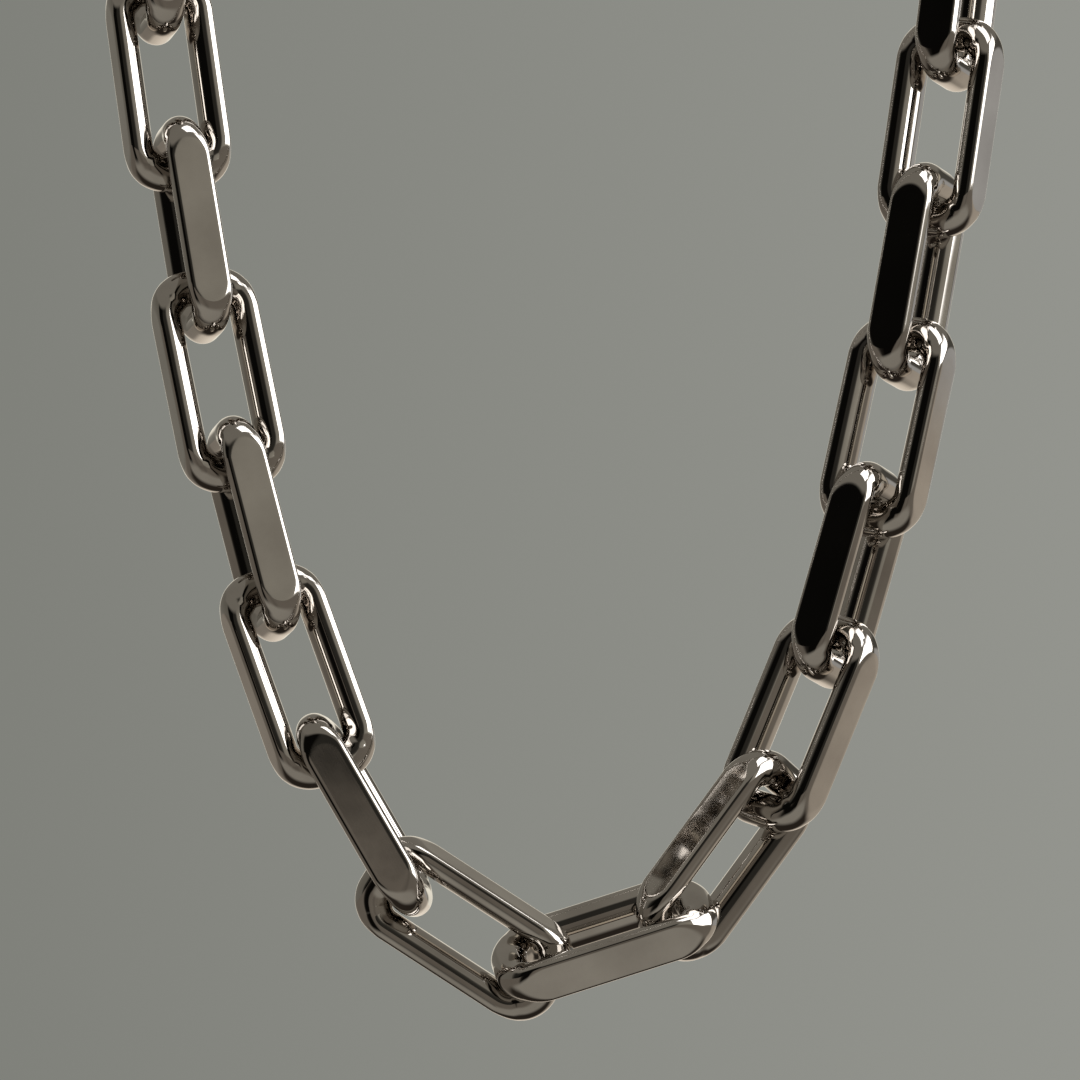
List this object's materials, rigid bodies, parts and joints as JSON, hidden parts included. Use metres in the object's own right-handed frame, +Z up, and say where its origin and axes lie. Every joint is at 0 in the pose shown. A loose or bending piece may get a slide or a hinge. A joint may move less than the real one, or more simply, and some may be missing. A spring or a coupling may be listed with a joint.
{
  "type": "chain necklace",
  "caption": "Chunky necklace of long polished-steel links with flattened sides, closed by a sprung trigger clasp, hanging as worn.",
  "frame": {"origin": "middle of the clasp's flat underside, where the necklace rests on the nape of the neck", "axes": "+Z up, X across the necklace with the clasp's tail at -X, the chain hangs in the plane Y = 0 and is seen from -Y"},
  "size_m": [0.095, 0.0116, 0.2068],
  "materials": {
    "polished_steel": "polished",
    "spring_steel": "satin"
  },
  "bodies": {
    "clasp": {"clasp_body": "polished_steel", "trigger_pin": "polished_steel", "trigger_spring": "spring_steel"},
    "trigger": {"clasp_trigger": "polished_steel"},
    "tail_ring": {"tail_ring": "polished_steel"},
    "end_ring": {"end_ring": "polished_steel"},
    "link_01": {"link_01": "polished_steel"},
    "link_02": {"link_02": "polished_steel"},
    "link_03": {"link_03": "polished_steel"},
    "link_04": {"link_04": "polished_steel"},
    "link_05": {"link_05": "polished_steel"},
    "link_06": {"link_06": "polished_steel"},
    "link_07": {"link_07": "polished_steel"},
    "link_08": {"link_08": "polished_steel"},
    "link_09": {"link_09": "polished_steel"},
    "link_10": {"link_10": "polished_steel"},
    "link_11": {"link_11": "polished_steel"},
    "link_12": {"link_12": "polished_steel"},
    "link_13": {"link_13": "polished_steel"},
    "link_14": {"link_14": "polished_steel"},
    "link_15": {"link_15": "polished_steel"},
    "link_16": {"link_16": "polished_steel"},
    "link_17": {"link_17": "polished_steel"},
    "link_18": {"link_18": "polished_steel"},
    "link_19": {"link_19": "polished_steel"},
    "link_20": {"link_20": "polished_steel"},
    "link_21": {"link_21": "polished_steel"},
    "link_22": {"link_22": "polished_steel"},
    "link_23": {"link_23": "polished_steel"},
    "link_24": {"link_24": "polished_steel"},
    "link_25": {"link_25": "polished_steel"},
    "link_26": {"link_26": "polished_steel"},
    "link_27": {"link_27": "polished_steel"},
    "link_28": {"link_28": "polished_steel"},
    "link_29": {"link_29": "polished_steel"},
    "link_30": {"link_30": "polished_steel"},
    "link_31": {"link_31": "polished_steel"},
    "link_32": {"link_32": "polished_steel"}
  },
  "joints": [
    {"name": "tail_ring_swing", "type": "hinge", "parent": "clasp", "child": "tail_ring", "pos_m": [-0.00515, 0.00002, 0.00242], "axis": [0.999, -0.0019, -0.0448], "range_deg": [-16, 16]},
    {"name": "end_ring_swing", "type": "hinge", "parent": "clasp", "child": "end_ring", "pos_m": [0.01166, -0.00002, 0.00167], "axis": [0.999, -0.0019, -0.0448], "range_deg": [-16, 16]},
    {"name": "link_01_swing", "type": "hinge", "parent": "tail_ring", "child": "link_01", "pos_m": [-0.0127, 0.00002, 0.00046], "axis": [-0.9988, 0.001, 0.0481], "range_deg": [-10, 35]},
    {"name": "link_32_swing", "type": "hinge", "parent": "end_ring", "child": "link_32", "pos_m": [0.01897, -0.00002, -0.00107], "axis": [-0.9988, 0.001, 0.0481], "range_deg": [-10, 35]},
    {"name": "link_02_swing", "type": "hinge", "parent": "link_01", "child": "link_02", "pos_m": [-0.02298, -0.00002, -0.00454], "axis": [0.9987, -0.0023, -0.0509], "range_deg": [-18, 21]},
    {"name": "link_31_swing", "type": "hinge", "parent": "link_32", "child": "link_31", "pos_m": [0.02862, -0.00014, -0.00717], "axis": [0.9987, -0.0023, -0.0509], "range_deg": [-18, 21]},
    {"name": "link_03_swing", "type": "hinge", "parent": "link_02", "child": "link_03", "pos_m": [-0.0349, -0.00002, -0.01673], "axis": [-0.9987, 0.0016, 0.0512], "range_deg": [-18, 30]},
    {"name": "link_30_swing", "type": "hinge", "parent": "link_31", "child": "link_30", "pos_m": [0.03922, -0.00014, -0.02053], "axis": [-0.9987, 0.0016, 0.0512], "range_deg": [-18, 30]},
    {"name": "link_04_swing", "type": "hinge", "parent": "link_03", "child": "link_04", "pos_m": [-0.03964, 0.00001, -0.02628], "axis": [0.9987, -0.0022, -0.0509], "range_deg": [-21, 21]},
    {"name": "link_29_swing", "type": "hinge", "parent": "link_30", "child": "link_29", "pos_m": [0.04293, -0.00017, -0.03049], "axis": [0.9987, -0.0022, -0.0509], "range_deg": [-21, 21]},
    {"name": "link_05_swing", "type": "hinge", "parent": "link_04", "child": "link_05", "pos_m": [-0.04211, 0.00001, -0.04315], "axis": [-0.9987, 0.0021, 0.051], "range_deg": [-21, 27]},
    {"name": "link_28_swing", "type": "hinge", "parent": "link_29", "child": "link_28", "pos_m": [0.04365, -0.00017, -0.04752], "axis": [-0.9987, 0.0021, 0.051], "range_deg": [-21, 27]},
    {"name": "link_06_swing", "type": "hinge", "parent": "link_05", "child": "link_06", "pos_m": [-0.04068, 0.00016, -0.05357], "axis": [0.9986, -0.0031, -0.0523], "range_deg": [-25, 23]},
    {"name": "link_27_swing", "type": "hinge", "parent": "link_28", "child": "link_27", "pos_m": [0.04249, -0.0001, -0.05793], "axis": [0.9986, -0.0031, -0.0523], "range_deg": [-25, 23]},
    {"name": "link_07_swing", "type": "hinge", "parent": "link_06", "child": "link_07", "pos_m": [-0.03915, 0.00016, -0.07055], "axis": [-0.9985, 0.0033, 0.0543], "range_deg": [-25, 23]},
    {"name": "link_26_swing", "type": "hinge", "parent": "link_27", "child": "link_26", "pos_m": [0.04091, -0.0001, -0.07491], "axis": [-0.9985, 0.0033, 0.0543], "range_deg": [-25, 23]},
    {"name": "link_08_swing", "type": "hinge", "parent": "link_07", "child": "link_08", "pos_m": [-0.03813, 0.00019, -0.08095], "axis": [0.9984, -0.0042, -0.0557], "range_deg": [-25, 23]},
    {"name": "link_25_swing", "type": "hinge", "parent": "link_26", "child": "link_25", "pos_m": [0.03985, -0.00014, -0.0853], "axis": [0.9984, -0.0042, -0.0557], "range_deg": [-25, 23]},
    {"name": "link_09_swing", "type": "hinge", "parent": "link_08", "child": "link_09", "pos_m": [-0.03625, 0.00019, -0.0979], "axis": [-0.9983, 0.0044, 0.0585], "range_deg": [-25, 23]},
    {"name": "link_24_swing", "type": "hinge", "parent": "link_25", "child": "link_24", "pos_m": [0.0379, -0.00014, -0.10224], "axis": [-0.9983, 0.0044, 0.0585], "range_deg": [-25, 23]},
    {"name": "link_10_swing", "type": "hinge", "parent": "link_09", "child": "link_10", "pos_m": [-0.03496, 0.00022, -0.10827], "axis": [0.9982, -0.0055, -0.0605], "range_deg": [-25, 23]},
    {"name": "link_23_swing", "type": "hinge", "parent": "link_24", "child": "link_23", "pos_m": [0.03656, -0.00017, -0.1126], "axis": [0.9982, -0.0055, -0.0605], "range_deg": [-25, 23]},
    {"name": "link_11_swing", "type": "hinge", "parent": "link_10", "child": "link_11", "pos_m": [-0.03253, 0.00022, -0.12515], "axis": [-0.9979, 0.0059, 0.0647], "range_deg": [-25, 23]},
    {"name": "link_22_swing", "type": "hinge", "parent": "link_23", "child": "link_22", "pos_m": [0.034, -0.00017, -0.12946], "axis": [-0.9979, 0.0059, 0.0647], "range_deg": [-25, 23]},
    {"name": "link_12_swing", "type": "hinge", "parent": "link_11", "child": "link_12", "pos_m": [-0.03081, 0.00025, -0.13546], "axis": [0.9977, -0.0074, -0.0681], "range_deg": [-27, 23]},
    {"name": "link_21_swing", "type": "hinge", "parent": "link_22", "child": "link_21", "pos_m": [0.03218, -0.00022, -0.13975], "axis": [0.9977, -0.0074, -0.0681], "range_deg": [-27, 23]},
    {"name": "link_13_swing", "type": "hinge", "parent": "link_12", "child": "link_13", "pos_m": [-0.02738, 0.00025, -0.15216], "axis": [-0.9971, 0.0083, 0.0758], "range_deg": [-25, 21]},
    {"name": "link_20_swing", "type": "hinge", "parent": "link_21", "child": "link_20", "pos_m": [0.02849, -0.00022, -0.1564], "axis": [-0.9971, 0.0083, 0.0758], "range_deg": [-25, 21]},
    {"name": "link_14_swing", "type": "hinge", "parent": "link_13", "child": "link_14", "pos_m": [-0.02482, 0.00026, -0.1623], "axis": [0.9965, -0.0109, -0.0825], "range_deg": [-27, 21]},
    {"name": "link_19_swing", "type": "hinge", "parent": "link_20", "child": "link_19", "pos_m": [0.02569, -0.00029, -0.16648], "axis": [0.9965, -0.0109, -0.0825], "range_deg": [-27, 21]},
    {"name": "link_15_swing", "type": "hinge", "parent": "link_14", "child": "link_15", "pos_m": [-0.01904, 0.00026, -0.17834], "axis": [-0.9947, 0.0143, 0.1017], "range_deg": [-5, 9]},
    {"name": "link_18_swing", "type": "hinge", "parent": "link_19", "child": "link_18", "pos_m": [0.01921, -0.00029, -0.18225], "axis": [-0.9947, 0.0143, 0.1017], "range_deg": [-5, 9]},
    {"name": "link_16_swing", "type": "hinge", "parent": "link_15", "child": "link_16", "pos_m": [-0.01428, 0.00036, -0.18798], "axis": [0.9932, -0.0317, -0.1125], "range_deg": [-7, 2]},
    {"name": "link_17_swing", "type": "hinge", "parent": "link_18", "child": "link_17", "pos_m": [0.01325, -0.00052, -0.1911], "axis": [0.9932, -0.0317, -0.1125], "range_deg": [-7, 2]},
    {"name": "trigger_pivot", "type": "hinge", "parent": "clasp", "child": "trigger", "pos_m": [0.00228, 0.0019, 0.00159], "axis": [-0.0494, 0, -0.9988], "range_deg": [0, 30], "stiffness_Nm_per_rad": 0.004, "springref_deg": -11.46, "deforming": ["trigger_spring"]}
  ],
  "couplings": [
    {"joint": "end_ring_swing", "follows": "tail_ring_swing", "ratio": 1},
    {"joint": "link_32_swing", "follows": "link_01_swing", "ratio": 1},
    {"joint": "link_31_swing", "follows": "link_02_swing", "ratio": 1},
    {"joint": "link_30_swing", "follows": "link_03_swing", "ratio": 1},
    {"joint": "link_29_swing", "follows": "link_04_swing", "ratio": 1},
    {"joint": "link_28_swing", "follows": "link_05_swing", "ratio": 1},
    {"joint": "link_27_swing", "follows": "link_06_swing", "ratio": 1},
    {"joint": "link_26_swing", "follows": "link_07_swing", "ratio": 1},
    {"joint": "link_25_swing", "follows": "link_08_swing", "ratio": 1},
    {"joint": "link_24_swing", "follows": "link_09_swing", "ratio": 1},
    {"joint": "link_23_swing", "follows": "link_10_swing", "ratio": 1},
    {"joint": "link_22_swing", "follows": "link_11_swing", "ratio": 1},
    {"joint": "link_21_swing", "follows": "link_12_swing", "ratio": 1},
    {"joint": "link_20_swing", "follows": "link_13_swing", "ratio": 1},
    {"joint": "link_19_swing", "follows": "link_14_swing", "ratio": 1},
    {"joint": "link_18_swing", "follows": "link_15_swing", "ratio": 1},
    {"joint": "link_17_swing", "follows": "link_16_swing", "ratio": 1}
  ]
}
